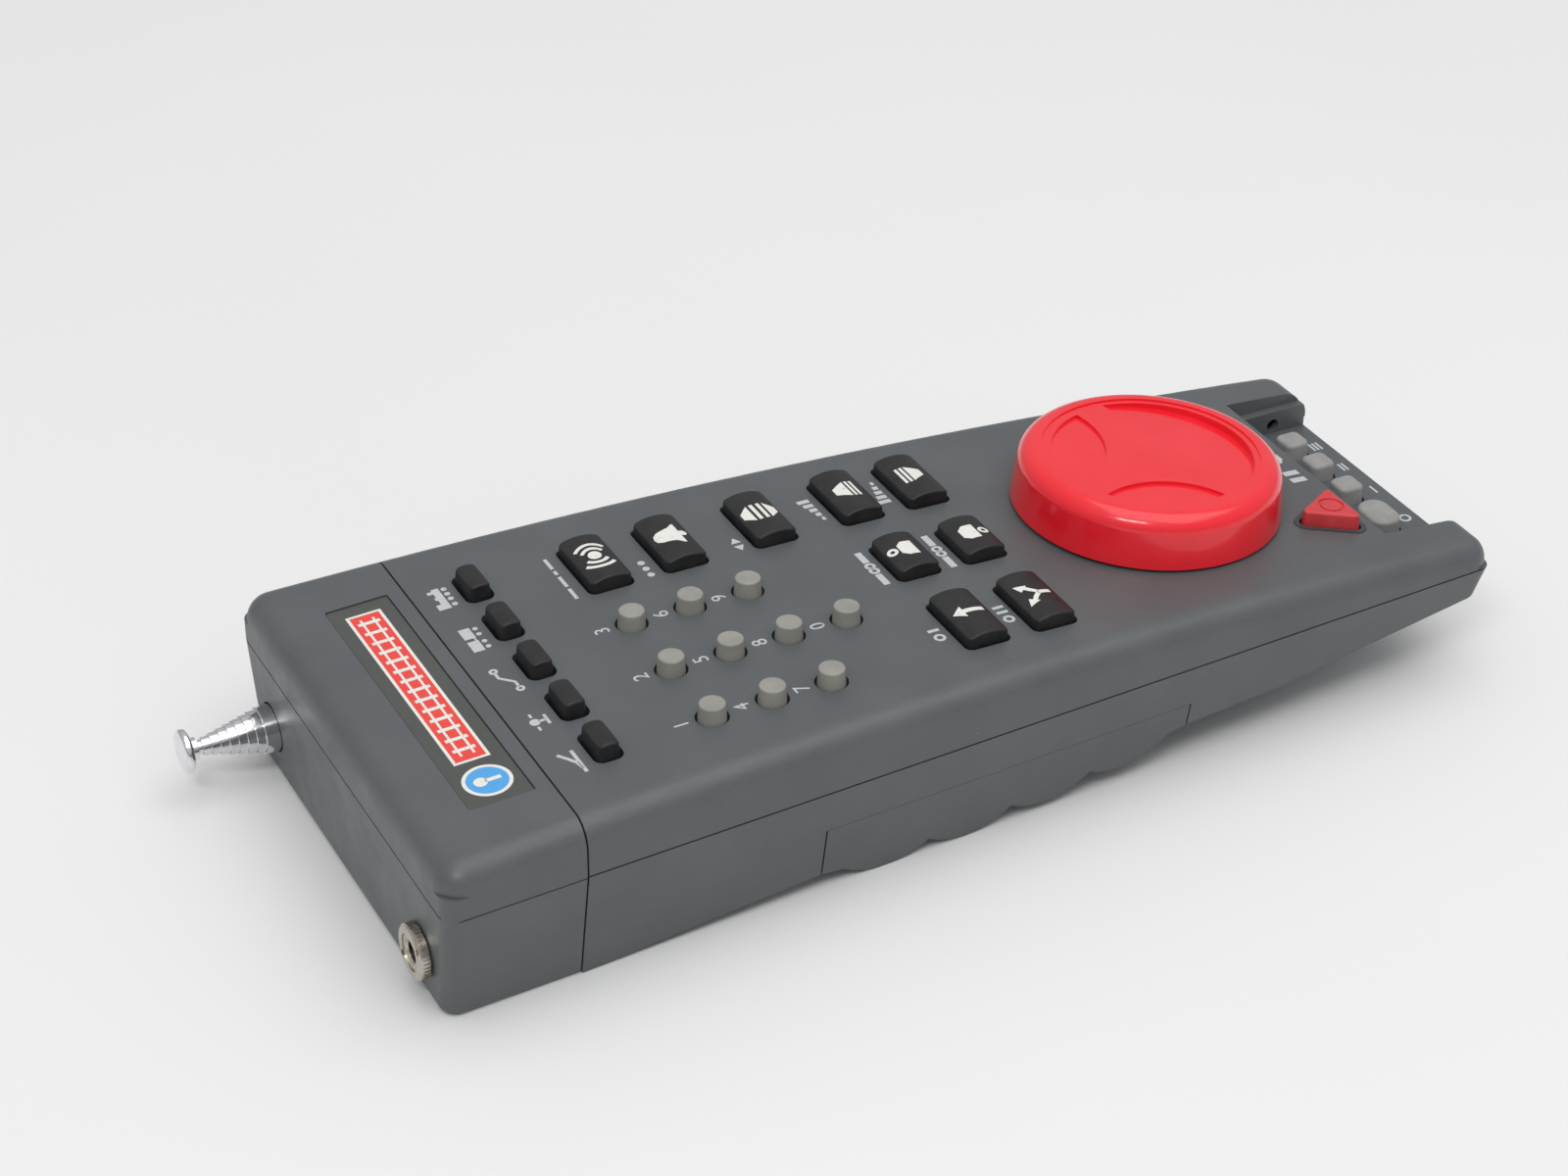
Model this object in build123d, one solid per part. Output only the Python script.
from build123d import *
from math import atan, cos, degrees, radians, sin
import os

# A hand-held radio controller for a model railway. Millimetres, +Z up (key face up),
# +Y towards the aerial. Everything is drawn from the point where the head seam crosses
# the parting plane, and moved to the shared frame when it is written.
FOOT_Y = -172.0
FRONT_Y = 23.3
AERIAL_TIP_Y = 38.7
REST_Z = -21.0
FRAME = Location((0, -(FOOT_Y + AERIAL_TIP_Y) / 2, -REST_Z))

# Case
HALF_W = 41.7
TAPER = 0.0496
WALL = 2.2
LINE_GAP = 0.16
SIDE_DRAFT = 0.175
FRONT_DRAFT = 0.03
FOOT_DRAFT = 0.25
CORNER = 2.8
SHOULDER_CORNER = 4.4
POST_DROP = 0.3
INNER_CORNER = 1.5
HEAD_LINE = (0.35, 0.2)
COVER_GAP = 0.3
TOP_ROUND = 4.2
BOTTOM_ROUND = 1.6
LOWER_DEPTH = 24.0
LIP = 1.0
LIP_UP = 1.5
SPIGOT = 0.8
SPIGOT_REACH = 6.0
HEAD_FIT = 0.15

# Crown of the key face: height over the parting plane at distance y from the seam
CROWN = (9.07, -0.0337, -0.00035)

# Underside, as (y, z)
COVER_Y = (-41.8, -111.0)
COVER_TOP = -8.2
RIB_CUSPS = ((-46.2, -18.4), (-61.9, -18.4), (-77.4, -17.4), (-92.4, -16.0), (-107.3, -13.6))
RIB_SAG = 2.6
HEEL = ((-111.0, -12.8), (-130.0, -11.6), (-175.0, -4.9))

# Foot recess between the two wings
RECESS_Y = -155.5
RECESS_HALF = 22.4
LEDGE_HALF = 24.0
LEDGE_DROP = 2.4
DECK_Z = -1.6
DECK = 1.4
PIVOT_Y = -165.0
PIVOT_R = 1.2

# Keys: (name, x, y, length, width)
TRAVEL = 0.8
KEY_GAP = 0.3
KEY_CORNER = 1.1
KEY_DRAFT = 0.06
FLANGE = 0.8
FLANGE_OUT = 0.8
MODE_PITCH = 12.17
MODE_Y = -10.2
MODE_SIZE = (7.9, 4.4)
MODE_TALL = 2.6
PAD_X = -11.3
PAD_Y = -28.4
PAD_PITCH = (14.3, 10.33)
PAD_R = 2.42
PAD_TALL = 2.7
BIG_SIZE = (14.1, 7.7)
COUPLER_SIZE = (11.2, 7.7)
BIG_TALL = 2.4
COLUMN = 20.5
BIG_ROWS = {"horn": -30.1, "bell": -43.6, "direction": -60.1, "boost": -76.4, "brake": -88.8}
MODES = ("switch", "accessory", "route", "train", "engine")
STOP_POINTS = ((-16.2, -142.9), (-21.9, -152.7), (-10.5, -152.7))
STOP_TALL = 2.6
STOP_WALL = 1.2
MOMENTUM_X = {"low": -1.8, "medium": 6.9, "high": 14.9}
MOMENTUM_Y = -163.9
MOMENTUM_SIZE = 5.2
SET_AT = (-12.0, -163.4)
SET_SIZE = (8.6, 6.2)
DECK_KEY_TALL = 3.2
DECK_TRAVEL = 0.6
# How each kind of cap is formed: (radius of its arched top, draft, edge rounding), None for a flat top
CAP_FORMS = {"mode": (4.2, 0.10, 0.4), "key": (8.5, KEY_DRAFT, 0.35), "digit": None}

# Boards
BOARD_TOP = 3.0
BOARD = 1.6
MAT = 0.4
FOOT_BOARD_TOP = -4.4
FOOT_BOARD = 1.0
FOOT_BOARD_Y = (-167.5, -158.0)

# Speed knob
KNOB_Y = -122.9
KNOB_R = 23.0
KNOB_TOP_R = 22.1
KNOB_TALL = 9.2
KNOB_LIFT = 0.5
KNOB_WALL = 2.2
KNOB_ROUND = 3.2
KNOB_STEP = 0.25
KNOB_STEP_R = 18.5
KNOB_DIMPLE = 0.5
KNOB_GRIP_R = 17.4
# The two curved bands round the finger pads: (reach, angle, inner radius, width of the band)
KNOB_ARCS = ((24.6, 60, 17.1, 6.0), (22.8, 158, 13.5, 6.4))
KNOB_PAD_TILT = (2.2, 0, 0)
SHAFT_R = 3.0
BUSH_R = 4.2
ENCODER_DEEP = 4.5

# Cells, cover and contacts
CELL_R = 7.1
CELL_LONG = 49.2
CELL_WALL = 1.6
CELL_Z_UP = CELL_R + CELL_WALL
BAY_HALF = 30.0
BAY_CEILING = -1.1

# Aerial
AERIAL = (31.2, -11.8)
TUBE_R = 4.0
TUBE_STEP = 0.35
TUBE_WALL = 0.3
TUBE_LONG = 66.0
TUBE_NOSE = 25.3
TUBE_PEEP = 1.42
TUBES = 8
TIP_R = 3.7

# Jack
JACK = (-31.6, -12.4)
JACK_BORE_R = 1.8
JACK_BUSH_R = 3.0
NUT_R = 4.5
NUT_THICK = 1.7

# Name plate
LABEL_AT = (0.0, 8.05)
LABEL_SIZE = (58.6, 10.5)

# Screws, as (x, y)
CASE_SCREWS = ((-18.2, -19.0), (18.2, -19.0), (-23.0, -134.0), (23.0, -134.0))
HEAD_SCREWS = ((-14.0, 3.0), (14.0, 3.0))
SCREW_R = 1.4
SCREW_HEAD_R = 2.7


def crown(y):
    """Height of the key face over the parting plane."""
    return CROWN[0] + CROWN[1] * y + CROWN[2] * y * y


def slope_at(y):
    """How steeply the key face climbs towards the head at distance y from the seam."""
    return CROWN[1] + 2 * CROWN[2] * y


def on_face(x, y):
    """A location on the key face with its z axis square to the face."""
    return Location((x, y, crown(y)), (degrees(atan(slope_at(y))), 0, 0))


def half_width(y):
    """Half the width of the case at the parting plane."""
    return HALF_W + TAPER * y


def slab(x, y, z):
    """A box from three (low, high) pairs."""
    size = [pair[1] - pair[0] for pair in (x, y, z)]
    centre = [(pair[1] + pair[0]) / 2 for pair in (x, y, z)]
    return Pos(*centre) * Box(*size)


def rod(x, y, z_low, z_high, radius):
    """An upright cylinder."""
    return Pos(x, y, z_low) * Cylinder(radius, z_high - z_low, align=(Align.CENTER, Align.CENTER, Align.MIN))


def bar(x, z, y_low, y_high, radius):
    """A cylinder along Y."""
    middle = (y_low + y_high) / 2
    return Pos(x, middle, z) * Rot(90, 0, 0) * Cylinder(radius, y_high - y_low)


def plan(inset, side=0.0, front=0.0, foot=0.0):
    """The case seen from above with sharp corners, moved in by inset and by the draft on each side."""
    y_front = FRONT_Y - inset - front
    y_foot = FOOT_Y + inset + foot
    w_front = half_width(y_front) - inset - side
    w_foot = half_width(y_foot) - inset - side
    corners = [(-w_front, y_front), (w_front, y_front), (w_foot, y_foot), (-w_foot, y_foot)]
    return make_face(Polyline(corners, close=True))


def outline(inset, z, side=0.0, front=0.0, foot=0.0):
    """The case seen from above with rounded corners."""
    face = plan(inset, side, front, foot)
    return Pos(0, 0, z) * fillet(face.vertices(), INNER_CORNER if inset > 0 else CORNER)


def key_face_profile(inset):
    """The side view over the parting plane: a shallow arc from foot to head."""
    ends = (FOOT_Y - 4, (FOOT_Y + FRONT_Y) / 2, FRONT_Y + 4)
    arc = ThreePointArc(*[(y, crown(y) - inset) for y in ends])
    rest = Polyline((ends[2], crown(ends[2]) - inset), (ends[2], 0), (ends[0], 0), (ends[0], crown(ends[0]) - inset))
    return make_face(Plane.YZ * (arc + rest))


def underside_profile(inset):
    """The side view under the parting plane: flat head, four ribs over the cells, sloping heel."""
    edges = []
    start = (FRONT_Y + 4, REST_Z + inset)
    flat_end = (1.0, REST_Z + inset)
    line = [start, flat_end, (COVER_Y[0], -17.9 + inset), (RIB_CUSPS[0][0], RIB_CUSPS[0][1] + inset)]
    edges.append(Polyline(*line))
    for a, b in zip(RIB_CUSPS, RIB_CUSPS[1:]):
        low = ((a[0] + b[0]) / 2, (a[1] + b[1]) / 2 - RIB_SAG + inset)
        edges.append(ThreePointArc((a[0], a[1] + inset), low, (b[0], b[1] + inset)))
    heel = [(RIB_CUSPS[-1][0], RIB_CUSPS[-1][1] + inset)] + [(y, z + inset) for y, z in HEEL]
    heel += [(HEEL[-1][0], 0), (start[0], 0), start]
    edges.append(Polyline(*heel))
    return make_face(Plane.YZ * Curve(edges))


def upper_block(inset):
    """The solid over the parting plane, moved in by inset."""
    return extrude(outline(inset, 0), 14) & extrude(key_face_profile(inset), 50, both=True)


def lower_block(inset):
    """The solid under the parting plane, drafted on every side and moved in by inset."""
    drafts = (SIDE_DRAFT * LOWER_DEPTH, FRONT_DRAFT * LOWER_DEPTH, FOOT_DRAFT * LOWER_DEPTH)
    tub = loft([outline(inset, 0), outline(inset, -LOWER_DEPTH, *drafts)])
    return tub & extrude(underside_profile(inset), 50, both=True)


def edges_in(solid, x, y, z):
    """Edges whose middle lies in the given (low, high) ranges."""
    return solid.edges().filter_by(
        lambda e: all(low <= v <= high for v, (low, high) in zip(e.center(), (x, y, z)))
    )


def rounded_upper():
    """The upper block: a soft shoulder all the way round, over corners as tight as the lower block's."""
    block = extrude(fillet(plan(0).vertices(), SHOULDER_CORNER), 14)
    block &= extrude(key_face_profile(0), 50, both=True)
    top = block.faces().filter_by(lambda f: f.normal_at().Z > 0.9)[0]
    tight = extrude(outline(0, 0), 14) & extrude(key_face_profile(TOP_ROUND + POST_DROP), 50, both=True)
    return fillet(top.edges(), TOP_ROUND) + tight


def rounded_lower():
    """The lower block with the head's bottom edges softened."""
    block = lower_block(0)
    rim = edges_in(block, (-45, 45), (2, FRONT_Y + 1), (REST_Z - 0.1, REST_Z + 0.1))
    return fillet(rim, BOTTOM_ROUND)


def key_sketches():
    """Every key: its outline on the face, its place, its height and its travel."""
    keys = {}
    for i, name in enumerate(MODES):
        keys["mode_key_" + name] = ((i - 2) * MODE_PITCH, MODE_Y, RectangleRounded(*MODE_SIZE, KEY_CORNER + 0.2), MODE_TALL)
    for digit in range(1, 10):
        column = (digit - 1) % 3
        row = (digit - 1) // 3
        place = (PAD_X + (column - 1) * PAD_PITCH[0], PAD_Y - row * PAD_PITCH[1])
        keys["digit_key_%d" % digit] = (*place, Circle(PAD_R), PAD_TALL)
    keys["digit_key_0"] = (PAD_X, PAD_Y - 3 * PAD_PITCH[1], Circle(PAD_R), PAD_TALL)
    for name, y in BIG_ROWS.items():
        keys["key_" + name] = (COLUMN, y, RectangleRounded(*BIG_SIZE, KEY_CORNER), BIG_TALL)
    for name, row in (("front", "boost"), ("rear", "brake")):
        keys["key_coupler_" + name] = (0, BIG_ROWS[row], RectangleRounded(*COUPLER_SIZE, KEY_CORNER), BIG_TALL)
    for number, row in ((1, "boost"), (2, "brake")):
        keys["key_auxiliary_%d" % number] = (-COLUMN, BIG_ROWS[row], RectangleRounded(*BIG_SIZE, KEY_CORNER), BIG_TALL)
    return keys


def stop_sketch(grow=0.0):
    """The triangle of the stop key, moved out by grow."""
    face = make_face(Polyline(*STOP_POINTS, close=True))
    face = fillet(face.vertices(), 1.0)
    return offset(face, grow) if grow else face


def deck_key_sketches():
    """The keys on the foot deck: outline and place."""
    keys = {}
    for name, x in MOMENTUM_X.items():
        keys["momentum_key_" + name] = (x, MOMENTUM_Y, RectangleRounded(MOMENTUM_SIZE, MOMENTUM_SIZE, 1.5))
    keys["set_key"] = (*SET_AT, RectangleRounded(*SET_SIZE, 2.9))
    return keys


def drafted(sketch, z_low, z_high, draft=KEY_DRAFT):
    """An upright piece whose sides lean in a little towards the top."""
    lean = draft * (z_high - z_low)
    return loft([Pos(0, 0, z_low) * sketch, Pos(0, 0, z_high) * offset(sketch, -lean)])


def flat_cap(sketch, z_low, z_high, soften):
    """A key cap with drafted sides, a softened top edge and a flat top along the case."""
    cap = drafted(sketch, z_low, z_high + 1)
    middle = sketch.center()
    cutter = on_face(middle.X, middle.Y) * Pos(0, 0, z_high - crown(middle.Y))
    cap = cap & (cutter * Pos(0, 0, -10) * Box(40, 40, 20))
    return fillet(rim_of(cap), soften)


def arched_cap(sketch, z_low, z_high, form):
    """A rubber key cap whose top arches over from head side to foot side."""
    arch, draft, soften = form
    cap = drafted(sketch, z_low, z_high + 1, draft)
    middle = sketch.center()
    top = on_face(middle.X, middle.Y) * Pos(0, 0, z_high - crown(middle.Y))
    cap = cap & (top * Pos(0, 0, -arch) * Rot(0, 90, 0) * Cylinder(arch, 40))
    return fillet(rim_of(cap), soften)


def rim_of(cap):
    """The edges round the top face of a cap."""
    return cap.faces().sort_by(Axis.Z)[-1].edges()


def key(x, y, sketch, tall, form):
    """A key of the main face: cap, flange under the case and a post over the mat."""
    sketch = Pos(x, y) * sketch
    flange_top = crown(y) - WALL - 0.35
    if form is None:
        cap = flat_cap(sketch, flange_top, crown(y) + tall, 0.3)
    else:
        cap = arched_cap(sketch, flange_top, crown(y) + tall, form)
    flange = extrude(Pos(0, 0, flange_top - FLANGE) * offset(sketch, FLANGE_OUT), FLANGE)
    post_low = BOARD_TOP + MAT + TRAVEL + 0.1
    return cap + flange + rod(x, y, post_low, flange_top, 1.5)


def stop_key():
    """The red triangle with a ring engraved in its top."""
    face = stop_sketch()
    x, y = face.center().X, face.center().Y
    flange_top = crown(y) - STOP_WALL - 0.4
    flange_low = BOARD_TOP + TRAVEL + 0.2
    cap = flat_cap(face, flange_top, crown(y) + STOP_TALL, 0.4)
    flange = extrude(Pos(0, 0, flange_low) * stop_sketch(FLANGE_OUT), flange_top - flange_low)
    groove = on_face(x, y) * Pos(0, 0, STOP_TALL) * (Cylinder(2.2, 0.5) - Cylinder(1.8, 0.5))
    return cap + flange - groove


def deck_key(x, y, sketch):
    """A key of the foot deck."""
    sketch = Pos(x, y) * sketch
    flange_top = DECK_Z - DECK - 0.05
    cap = drafted(sketch, flange_top, DECK_Z + DECK_KEY_TALL)
    cap = fillet(rim_of(cap), 0.7)
    post_low = FOOT_BOARD_TOP + DECK_TRAVEL + 0.1
    flange = extrude(Pos(0, 0, post_low) * offset(sketch, 0.6), flange_top - post_low)
    return cap + flange


def recess(grow):
    """The space between the wings, over the deck, grown by a wall thickness."""
    low = DECK_Z - grow
    inner = slab((-RECESS_HALF - grow, RECESS_HALF + grow), (FOOT_Y - 5, RECESS_Y + grow), (low, 20))
    ledge_z = crown(-164) - LEDGE_DROP
    outer = slab((-LEDGE_HALF - grow, LEDGE_HALF + grow), (FOOT_Y - 5, RECESS_Y + grow), (ledge_z - grow, 20))
    return inner + outer


def top_shell():
    """The upper half of the case, with the deck, the wings and every key hole."""
    outer = rounded_upper()
    hollow = upper_block(WALL) - recess(DECK)
    shell = outer - hollow
    deck_box = recess(DECK) & slab((-50, 50), (FOOT_Y + 0.2, 0), (DECK_Z - DECK, LINE_GAP))
    shell = shell & slab((-60, 60), (FOOT_Y - 5, -LINE_GAP), (LINE_GAP, 30))
    shell = shell + deck_box - recess(0)
    for x, y, sketch, _ in key_sketches().values():
        shell -= extrude(Pos(x, y) * offset(sketch, KEY_GAP), 12)
    shell -= extrude(stop_sketch(KEY_GAP), 12)
    shell -= extrude(stop_sketch(FLANGE_OUT + 0.4), 12) & extrude(key_face_profile(STOP_WALL), 50, both=True)
    shell -= extrude(stop_sketch(1.2), 12) & extrude(key_face_profile(0), 50, both=True) - extrude(
        key_face_profile(0.8), 50, both=True)
    for x, y, sketch in deck_key_sketches().values():
        shell -= Pos(0, 0, DECK_Z - 2 * DECK) * extrude(Pos(x, y) * offset(sketch, KEY_GAP), 3 * DECK)
    shell -= on_face(0, KNOB_Y) * Cylinder(BUSH_R + KEY_GAP, 12)
    for side in (-1, 1):
        shell -= Pos(side * (RECESS_HALF + 0.5), PIVOT_Y, 0) * Rot(0, 90, 0) * Cylinder(PIVOT_R, 2.4)
    for x, y in CASE_SCREWS:
        boss = rod(x, y, LINE_GAP, crown(y) - WALL + 0.5, 3.0) - rod(x, y, 0, crown(y) - WALL - 0.5, SCREW_R + 0.05)
        shell += boss
    rim = upper_block(WALL) - upper_block(WALL + SPIGOT)
    rim = rim & slab((-60, 60), (-5, SPIGOT_REACH), (LINE_GAP, 30))
    return shell + rim


def bottom_shell():
    """The lower half of the case, with the cell bay, the lip and the spigot for the head."""
    outer = lower_block(0)
    shell = outer - lower_block(WALL)
    inner = lower_block(WALL)
    shell = shell & slab((-60, 60), (FOOT_Y - 5, -LINE_GAP), (-40, -LINE_GAP))
    lip_plan = outline(WALL + 0.05, -2.0) - outline(WALL + LIP, -2.0)
    lip = extrude(lip_plan, 2.0 + LIP_UP) & slab((-60, 60), (RECESS_Y + 3, -6), (-3, LIP_UP))
    bay_y = (COVER_Y[1] - 1.0, COVER_Y[0] + 1.0)
    ceiling = slab((-60, 60), bay_y, (BAY_CEILING, -LINE_GAP))
    walls = [slab((-60, 60), (y, y + CELL_WALL), (-40, BAY_CEILING)) for y in (bay_y[0], bay_y[1] - CELL_WALL)]
    rails = slab((-60, 60), bay_y, (COVER_TOP + 0.2, BAY_CEILING)) - slab((-BAY_HALF, BAY_HALF), bay_y, (-40, 1))
    inside = (ceiling + walls[0] + walls[1] + rails) & inner
    shell = shell + inside + (lip - lip_tail())
    shell -= slab((-60, 60), COVER_Y[::-1], (-40, COVER_TOP))
    shell -= recess(DECK + 0.05)
    board_low = FOOT_BOARD_TOP - FOOT_BOARD
    shell -= slab((-22, 22), (FOOT_BOARD_Y[0] - 1, FOOT_BOARD_Y[1] + 2), (board_low - 0.05, 0))
    shell -= bar(*AERIAL, -60, 40, TUBE_R + 0.3)
    for x, y in CASE_SCREWS:
        floor = underside_at(y)
        post = rod(x, y, floor + 0.4, -LINE_GAP - 0.1, SCREW_HEAD_R + 1.2) & lower_block(0.4)
        shell += post
        shell -= rod(x, y, floor - 5, floor + 4.0, SCREW_HEAD_R + 0.3)
        shell -= rod(x, y, floor - 5, 2, SCREW_R + 0.2)
    rim = (inner - lower_block(WALL + SPIGOT)) & slab((-60, 60), (-5, SPIGOT_REACH), (-40, -LINE_GAP))
    for x, y in HEAD_SCREWS:
        rim += slab((x - 3.5, x + 3.5), (-2.0, SPIGOT_REACH), (REST_Z + WALL, REST_Z + 10)) - rod(
            x, y, -40, 0, SCREW_R + 0.05)
        rim -= rod(x, y, -40, REST_Z + WALL + SPIGOT + 0.1, SCREW_R + 0.05)
    return shell + rim


def lip_tail():
    """The stretch where the lip would meet the walls of the foot recess."""
    return slab((-60, 60), (FOOT_Y - 5, RECESS_Y + 3), (-5, 5))


def underside_at(y):
    """Height of the underside at a screw, on its straight stretches."""
    stretches = (((1.0, REST_Z), (COVER_Y[0], -17.9)), HEEL[0:2], HEEL[1:3])
    for (y_a, z_a), (y_b, z_b) in stretches:
        if y_b <= y <= y_a:
            return z_a + (z_b - z_a) * (y - y_a) / (y_b - y_a)
    return REST_Z


def battery_cover():
    """The trough over the cells, with four ribs outside and four cradles inside."""
    wrap = slab((-60, 60), (COVER_Y[1] + COVER_GAP, COVER_Y[0] - COVER_GAP), (-40, COVER_TOP - 0.06))
    cover = (lower_block(0) - lower_block(CELL_WALL)) & wrap
    for side in (-1, 1):
        hook = slab((side * 20 - 4, side * 20 + 4), (COVER_Y[0] - 2.0, COVER_Y[0] - 0.6), (-17.5, -11.0))
        cover += hook
    return cover


def head_cap():
    """The cap over the front of the case, open at its back."""
    block = rounded_upper() + rounded_lower()
    hollow = upper_block(WALL - HEAD_FIT) + lower_block(WALL - HEAD_FIT)
    cap = (block - hollow) & slab((-60, 60), (LINE_GAP, FRONT_Y + 1), (-40, 40))
    cap -= bar(*AERIAL, 15, 40, TUBE_R + 0.3)
    cap -= bar(*JACK, 15, 40, JACK_BUSH_R + 0.1)
    cap -= label_block(0.15, 0.6)
    line = slab((-60, 60), (-1, FRONT_Y + 1), (-HEAD_LINE[0], 0))
    cap -= line - extrude(outline(HEAD_LINE[1], -2), 4)
    for x, y in HEAD_SCREWS:
        cap -= rod(x, y, -40, 0, SCREW_R + 0.1)
        cap -= rod(x, y, -40, REST_Z + 1.2, SCREW_HEAD_R + 0.2)
    return cap


def label_block(grow, deep):
    """The pocket for the name plate in the head's top face."""
    plate = extrude(RectangleRounded(LABEL_SIZE[0] + 2 * grow, LABEL_SIZE[1] + 2 * grow, 0.5), deep + 1)
    return on_face(*LABEL_AT) * Pos(0, 0, -deep) * plate


def label_plate():
    """A thin plate a little under the face of the head."""
    return on_face(*LABEL_AT) * Pos(0, 0, -0.6) * extrude(RectangleRounded(*LABEL_SIZE, 0.4), 0.35)


def stop_bezel():
    """The thin trim round the stop key."""
    skin = extrude(key_face_profile(-0.15), 50, both=True) - extrude(key_face_profile(0.75), 50, both=True)
    ring = extrude(stop_sketch(1.15), 12) - extrude(stop_sketch(KEY_GAP), 12)
    return ring & skin


def main_board():
    """The circuit board that carries the keys and the speed encoder."""
    y_ends = (-9.0 + 2, RECESS_Y + 3.5)
    corners = [(-half_width(y_ends[0]) + 4, y_ends[0]), (half_width(y_ends[0]) - 4, y_ends[0]),
               (half_width(y_ends[1]) - 4, y_ends[1]), (-half_width(y_ends[1]) + 4, y_ends[1])]
    plate = extrude(Pos(0, 0, BOARD_TOP - BOARD) * make_face(Polyline(*corners, close=True)), BOARD)
    for x, y in CASE_SCREWS:
        plate -= rod(x, y, -5, 5, 3.3)
    return plate


def keypad_mat():
    """The rubber contact mat over the board, with a ring round each key's post."""
    corners = [(-31, -7.2), (31, -7.2), (30, -95), (-30, -95)]
    sheet = extrude(Pos(0, 0, BOARD_TOP) * make_face(Polyline(*corners, close=True)), MAT)
    for x, y, _, _ in key_sketches().values():
        sheet += rod(x, y, BOARD_TOP, BOARD_TOP + MAT + 0.5, 2.3) - rod(x, y, BOARD_TOP + MAT, 9, 1.7)
    for x, y in CASE_SCREWS[:2]:
        sheet -= rod(x, y, -5, 9, 3.5)
    return sheet


def throttle_knob():
    """The speed knob: a deep cap with a raised rim, a ring step and three finger dimples."""
    low = KNOB_LIFT
    top = low + KNOB_TALL
    body = loft([Pos(0, 0, low) * Circle(KNOB_R), Pos(0, 0, top) * Circle(KNOB_TOP_R)])
    body = fillet(body.edges().sort_by(Axis.Z)[-1], KNOB_ROUND)
    body -= Pos(0, 0, top - KNOB_STEP) * extrude(Circle(KNOB_STEP_R), 2)
    floor = top - KNOB_STEP - KNOB_DIMPLE
    band = Circle(KNOB_GRIP_R)
    for reach, angle, radius, width in KNOB_ARCS:
        centre = Pos(reach * cos(radians(angle)), reach * sin(radians(angle)))
        body -= Pos(0, 0, floor) * extrude(Circle(KNOB_GRIP_R - 0.6) & (centre * Circle(radius)), 2)
        band -= centre * Circle(radius + width)
    tilt = Pos(0, 0, floor) * Rot(*KNOB_PAD_TILT) * Pos(0, 0, 5) * Box(50, 50, 10)
    body -= (Pos(0, 0, floor - 1) * extrude(band, 4)) & tilt
    body -= loft([Pos(0, 0, low - 1) * Circle(KNOB_R - KNOB_WALL), Pos(0, 0, top - 3.0) * Circle(KNOB_TOP_R - 3.0)])
    body += extrude(Pos(0, 0, low + 0.6) * (Circle(5.6) - shaft_section(0.01)), KNOB_TALL - 3.2)
    for turn in range(6):
        rib = Rot(0, 0, 30 + 60 * turn) * slab((5.4, KNOB_TOP_R - 2.5), (-0.7, 0.7), (top - 5.5, top - 2.6))
        body += rib
    return on_face(0, KNOB_Y) * body


def shaft_section(grow):
    """A round shaft with one flat."""
    return Circle(SHAFT_R + grow) - Pos(SHAFT_R + 2.2 + grow, 0) * Rectangle(5, 10)


def encoder_shaft():
    """The shaft that the knob is pressed on."""
    round_part = rod(0, 0, -ENCODER_DEEP + 0.7, KNOB_LIFT + 0.4, SHAFT_R)
    flat_part = extrude(Pos(0, 0, KNOB_LIFT + 0.4) * shaft_section(0), KNOB_TALL - 4.2)
    return on_face(0, KNOB_Y) * (round_part + flat_part)


def encoder_body():
    """The speed encoder: a slim square case with a bushing."""
    case = slab((-7, 7), (-7, 7), (-ENCODER_DEEP, -WALL - 0.2))
    bush = rod(0, 0, -WALL - 1, 0.2, BUSH_R)
    bore = rod(0, 0, -ENCODER_DEEP + 0.5, 5, SHAFT_R + 0.05)
    return on_face(0, KNOB_Y) * (case + bush - bore)


def foot_board():
    """The small board under the foot deck."""
    low = FOOT_BOARD_TOP - FOOT_BOARD
    return slab((-21, 21), FOOT_BOARD_Y, (low, FOOT_BOARD_TOP))


def radio_board():
    """The transmitter board in the head."""
    return slab((-24, 24), (1.5, 19.5), (0.2, 1.4)) + slab((-8, 8), (5, 15), (1.4, 4.0)) + rod(16, 10, 1.4, 5.4, 2.6)


def cell_centres():
    """The four cells, each in the middle of its rib."""
    places = []
    for a, b in zip(RIB_CUSPS, RIB_CUSPS[1:]):
        y = (a[0] + b[0]) / 2
        z = (a[1] + b[1]) / 2 - RIB_SAG + CELL_Z_UP + 0.3
        places.append((y, z))
    return places


def cell(side, y, z):
    """One cell lying across the case, its nub towards side."""
    can = Cylinder(CELL_R, CELL_LONG)
    can = fillet(can.edges(), 0.6)
    nub = Pos(0, 0, CELL_LONG / 2 + 0.5) * Cylinder(2.7, 1.0)
    return Pos(0, y, z) * Rot(0, 90 * side, 0) * (can + nub)


def battery_cells():
    """Four cells in series, turned end for end."""
    return [cell(1 - 2 * (i % 2), y, z) for i, (y, z) in enumerate(cell_centres())]


def battery_springs():
    """A conical contact spring at the flat end of each cell."""
    springs = []
    for i, (y, z) in enumerate(cell_centres()):
        side = 1 - 2 * (i % 2)
        path = Helix(pitch=0.8, height=2.4, radius=4.0, cone_angle=-20)
        wire = sweep(Plane(origin=path @ 0, z_dir=path % 0) * Circle(0.3), path=path)
        springs.append(Pos(-side * (CELL_LONG / 2 + 3.0), y, z) * Rot(0, 90 * side, 0) * wire)
    return springs


def battery_plates():
    """The contact plates on the side walls of the bay."""
    plates = []
    for i, (y, z) in enumerate(cell_centres()):
        side = 1 - 2 * (i % 2)
        nub_x = side * (CELL_LONG / 2 + 1.05)
        plate = Pos(nub_x + side * 0.2, y, z) * Box(0.4, 9, 9)
        flat = Pos(-side * (CELL_LONG / 2 + 3.6), y, z) * Box(0.4, 10, 10)
        plates += [plate, flat]
    return plates


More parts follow.
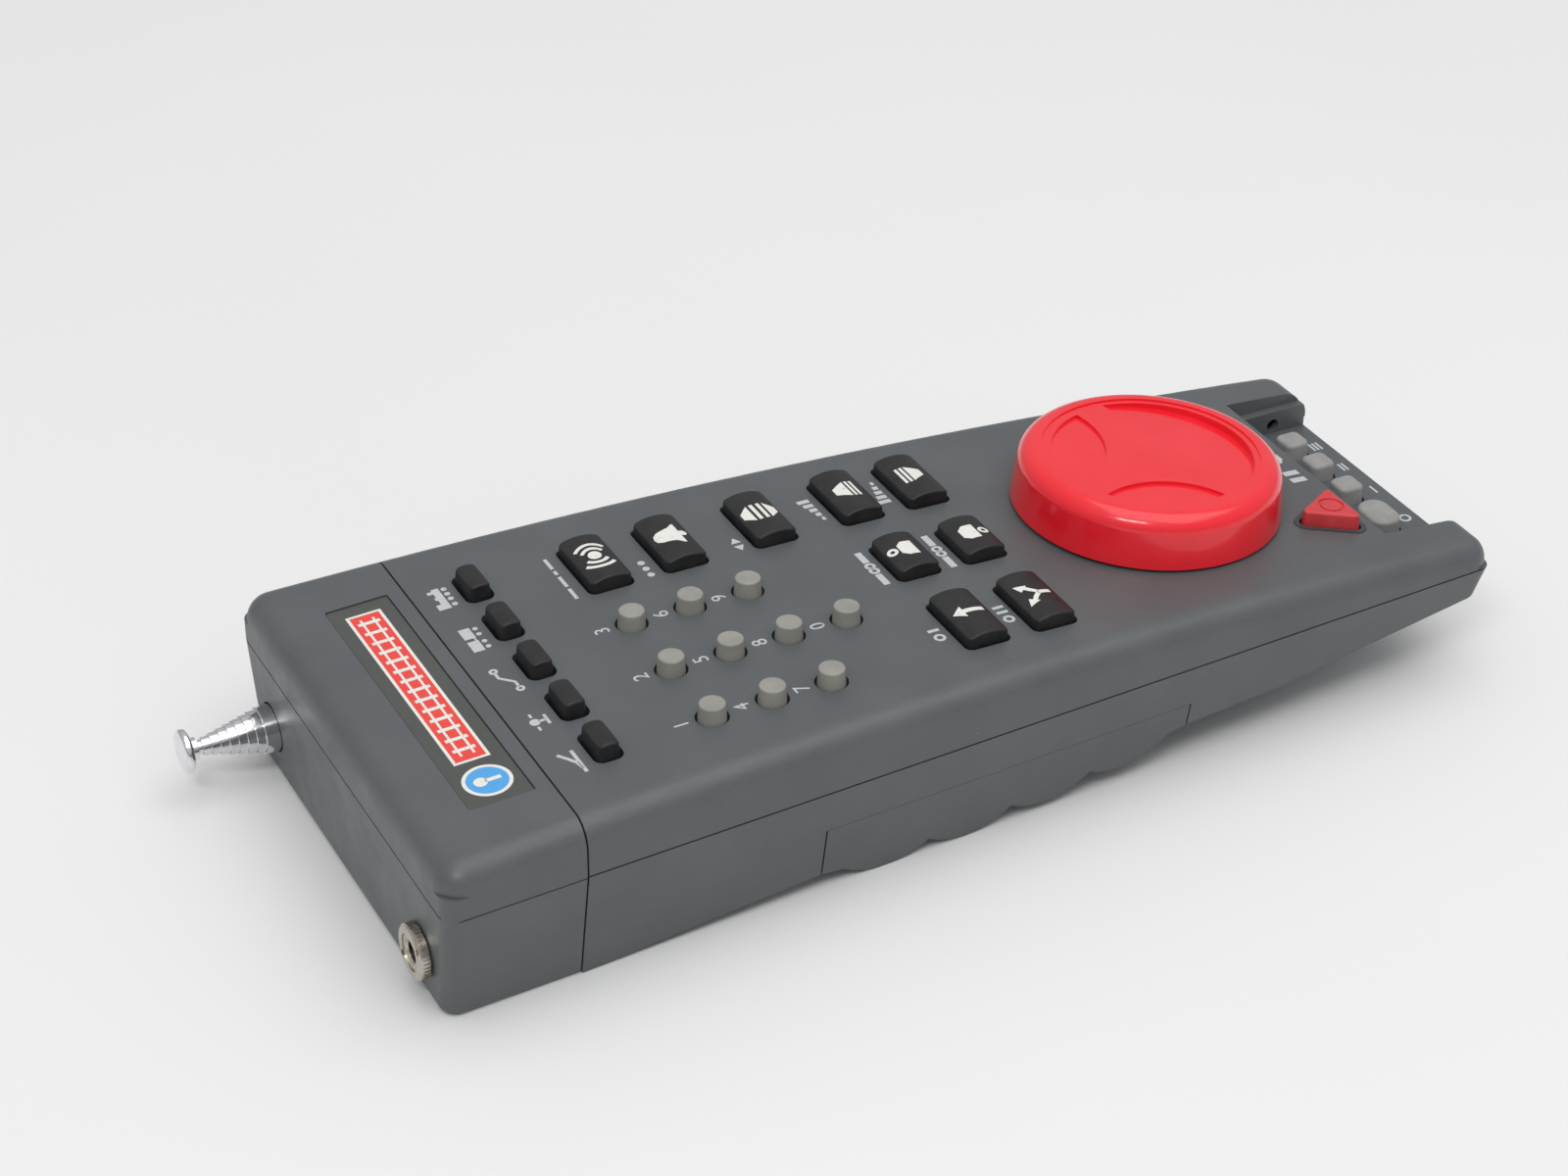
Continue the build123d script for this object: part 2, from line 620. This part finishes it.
def aerial_bracket():
    """The clamp that holds the aerial's outer tube in the case."""
    x, z = AERIAL
    ring = bar(x, z, -31.0, -27.0, TUBE_R + 1.6) - bar(x, z, -60, 40, TUBE_R)
    tab = slab((x - 11.0, x - 4.6), (-31.0, -27.0), (z - 1.0, z + 1.0))
    return (ring + tab) & lower_block(WALL + 0.15)


def aerial_tube(number):
    """One tube of the aerial, pushed in: each ends a little past the one round it."""
    radius = TUBE_R - TUBE_STEP * number
    nose = TUBE_NOSE + TUBE_PEEP * number
    tube = bar(*AERIAL, TUBE_NOSE - TUBE_LONG + 0.4 * number, nose, radius)
    bore = bar(*AERIAL, -80, 80, radius - TUBE_WALL)
    return fillet((tube - bore).edges().sort_by(Axis.Y)[-1], 0.12)


def aerial_tip():
    """The innermost rod with its button."""
    radius = TUBE_R - TUBE_STEP * TUBES
    nose = TUBE_NOSE + TUBE_PEEP * TUBES
    thin = bar(*AERIAL, TUBE_NOSE - TUBE_LONG + 0.4 * TUBES, nose, radius)
    neck = bar(*AERIAL, AERIAL_TIP_Y - 2.6, AERIAL_TIP_Y - 1.0, 1.9)
    button = bar(*AERIAL, AERIAL_TIP_Y - 1.5, AERIAL_TIP_Y, TIP_R)
    button = fillet(button.edges(), 0.6)
    return thin + neck + button


def jack_body():
    """The socket: a block inside the head and a threaded bushing through its wall."""
    x, z = JACK
    inner_face = FRONT_Y - WALL - 0.9
    block = slab((x - 5, x + 5), (inner_face - 12.7, inner_face), (z - 4.5, z + 4.5))
    bush = bar(x, z, inner_face - 1, FRONT_Y + NUT_THICK - 0.2, JACK_BUSH_R)
    bore = bar(x, z, inner_face - 11.2, 40, JACK_BORE_R)
    mouth_y = FRONT_Y + NUT_THICK - 0.2
    mouth = Pos(x, mouth_y, z) * Rot(90, 0, 0) * Cone(JACK_BORE_R + 0.5, JACK_BORE_R, 0.8)
    return block + bush - bore - mouth


def jack_nut():
    """The knurled nut with two driver slots."""
    x, z = JACK
    nut = bar(x, z, FRONT_Y, FRONT_Y + NUT_THICK, NUT_R)
    nut = chamfer(nut.edges().sort_by(Axis.Y)[-1], 0.3)
    nut -= bar(x, z, FRONT_Y - 1, 40, JACK_BUSH_R + 0.04)
    notch = Box(0.3, NUT_THICK - 0.3, 0.36)
    for tooth in range(40):
        angle = 9.0 * tooth
        nut -= Pos(x, FRONT_Y + 0.45, z) * Rot(0, angle, 0) * Pos(NUT_R, 0, 0) * notch
    for side in (-1, 1):
        nut -= Pos(x, FRONT_Y + NUT_THICK, z) * Rot(0, 35, 0) * Pos(side * (JACK_BUSH_R + 0.6), 0, 0) * Box(1.3, 1.0, 0.9)
    return nut


def screw(x, y, floor, z_top, head_tall):
    """A pan-head self-tapping screw with a cross recess, head down."""
    head = rod(x, y, floor, floor + head_tall, SCREW_HEAD_R)
    shank = rod(x, y, floor + head_tall - 0.1, z_top, SCREW_R)
    cross = Pos(x, y, floor) * (Box(3.0, 0.6, head_tall) + Box(0.6, 3.0, head_tall))
    return head + shank - cross


def case_screws():
    """The four screws that hold the two halves of the case."""
    return [screw(x, y, underside_at(y) + 2.1, crown(y) - WALL - 1.0, 1.8) for x, y in CASE_SCREWS]


def head_screws():
    """The two screws that hold the head cap."""
    return [screw(x, y, REST_Z + 0.15, REST_Z + 9.0, 1.0) for x, y in HEAD_SCREWS]


def write(name, shape):
    """Move a piece, or a group of separate solids, to the shared frame and write it."""
    if isinstance(shape, list):
        shape = Compound(children=[FRAME * Compound(piece.solids()) if len(piece.solids()) > 1
                                   else FRAME * piece.solids()[0] for piece in shape])
    else:
        shape = FRAME * shape
    export_step(shape, "parts/%s.step" % name)


def main():
    os.makedirs("parts", exist_ok=True)
    write("top_shell", top_shell())
    write("bottom_shell", bottom_shell())
    write("battery_cover", battery_cover())
    write("head_cap", head_cap())
    write("name_plate", label_plate())
    write("stop_bezel", stop_bezel())
    write("main_board", main_board())
    write("keypad_mat", keypad_mat())
    write("foot_board", foot_board())
    write("radio_board", radio_board())
    write("throttle_knob", throttle_knob())
    write("encoder_shaft", encoder_shaft())
    write("encoder_body", encoder_body())
    write("battery_cells", battery_cells())
    write("battery_springs", battery_springs())
    write("battery_plates", battery_plates())
    write("aerial_bracket", aerial_bracket())
    for number in range(TUBES):
        write("aerial_tube_%d" % (number + 1), aerial_tube(number))
    write("aerial_tip", aerial_tip())
    write("jack_body", jack_body())
    write("jack_nut", jack_nut())
    write("case_screws", case_screws())
    write("head_screws", head_screws())
    for name, (x, y, sketch, tall) in key_sketches().items():
        write(name, key(x, y, sketch, tall, CAP_FORMS[name.split("_")[0]]))
    write("stop_key", stop_key())
    for name, (x, y, sketch) in deck_key_sketches().items():
        write(name, deck_key(x, y, sketch))


if __name__ == "__main__":
    main()
